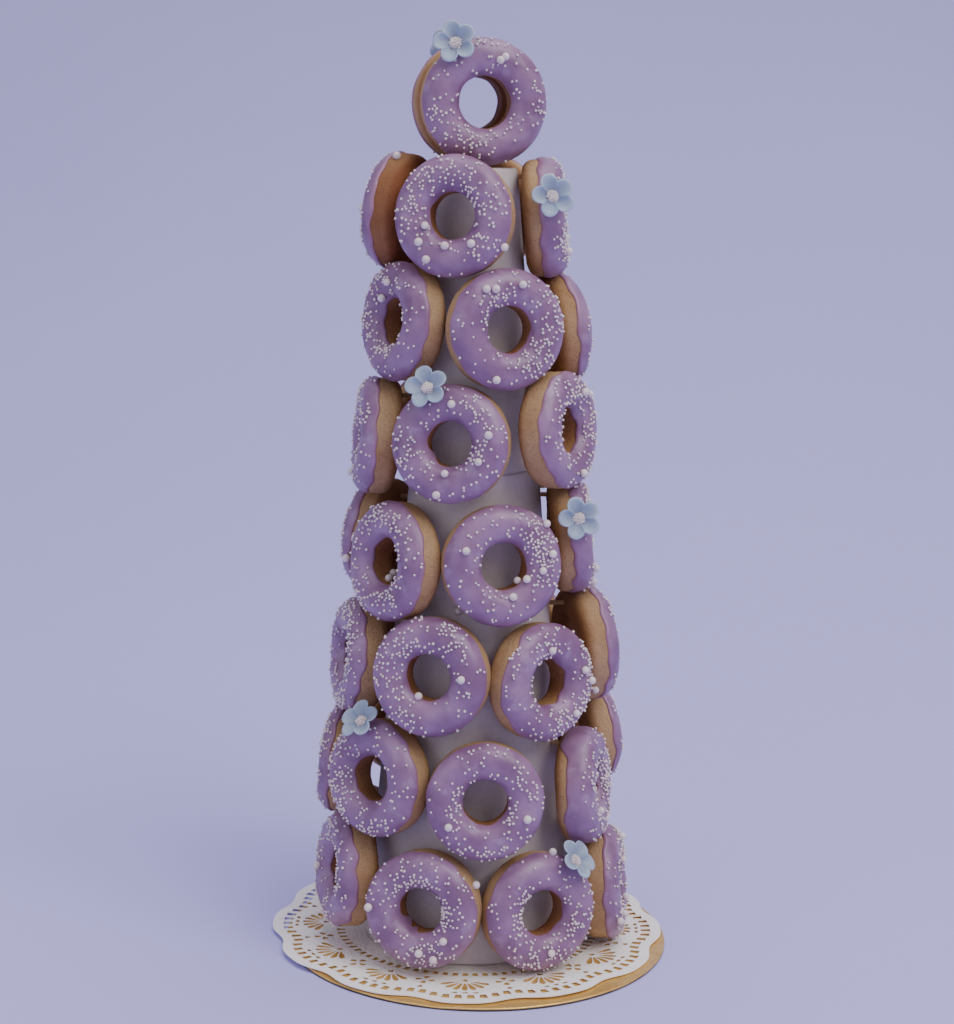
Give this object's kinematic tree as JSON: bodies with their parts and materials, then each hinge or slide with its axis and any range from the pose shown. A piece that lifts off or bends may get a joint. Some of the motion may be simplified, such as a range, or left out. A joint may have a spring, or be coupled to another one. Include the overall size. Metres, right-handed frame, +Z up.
{
  "type": "mini donut topiary",
  "caption": "Tall cone covered in rings of iced mini donuts with sugar pearls and sugar blossoms, on a round gold card with a lace doily.",
  "frame": {"origin": "where the cone's axis meets the table, under the middle of the footprint", "axes": "+Z up the cone, front towards -Y"},
  "size_m": [0.2116, 0.214, 0.4801],
  "materials": {
    "gold_card": "thin gold foil on card, with small dents and a darker cut rim",
    "lace_paper": "matt white embossed paper",
    "foam": "fine-beaded white foam",
    "icing": "satin lilac dip icing with soft ripples",
    "cake": "baked crumb with fine pores, browner in places",
    "sugar": "off-white sugar pearls and nonpareils",
    "wood": "plain birch cocktail picks",
    "blossom": "pale blue pressed sugar paste"
  },
  "bodies": {
    "root": {"blossom_1": "blossom", "blossom_10": "blossom", "blossom_11": "blossom", "blossom_2": "blossom", "blossom_3": "blossom", "blossom_4": "blossom", "blossom_5": "blossom", "blossom_6": "blossom", "blossom_7": "blossom", "blossom_8": "blossom", "blossom_9": "blossom", "cake_card": "gold_card", "donut_1_1": "icing", "donut_1_2": "icing", "donut_1_3": "icing", "donut_1_4": "icing", "donut_2_1": "icing", "donut_2_2": "icing", "donut_2_3": "icing", "donut_2_4": "icing", "donut_3_1": "icing", "donut_3_2": "icing", "donut_3_3": "icing", "donut_3_4": "icing", "donut_3_5": "icing", "donut_4_1": "icing", "donut_4_2": "icing", "donut_4_3": "icing", "donut_4_4": "icing", "donut_4_5": "icing", "donut_5_1": "icing", "donut_5_2": "icing", "donut_5_3": "icing", "donut_5_4": "icing", "donut_5_5": "icing", "donut_5_6": "icing", "donut_6_1": "icing", "donut_6_2": "icing", "donut_6_3": "icing", "donut_6_4": "icing", "donut_6_5": "icing", "donut_6_6": "icing", "donut_6_7": "icing", "donut_7_1": "icing", "donut_7_2": "icing", "donut_7_3": "icing", "donut_7_4": "icing", "donut_7_5": "icing", "donut_7_6": "icing", "donut_7_7": "icing", "donut_crown_back": "icing", "donut_crown_front": "icing", "foam_cone": "foam", "lace_doily": "lace_paper"}
  },
  "joints": []
}
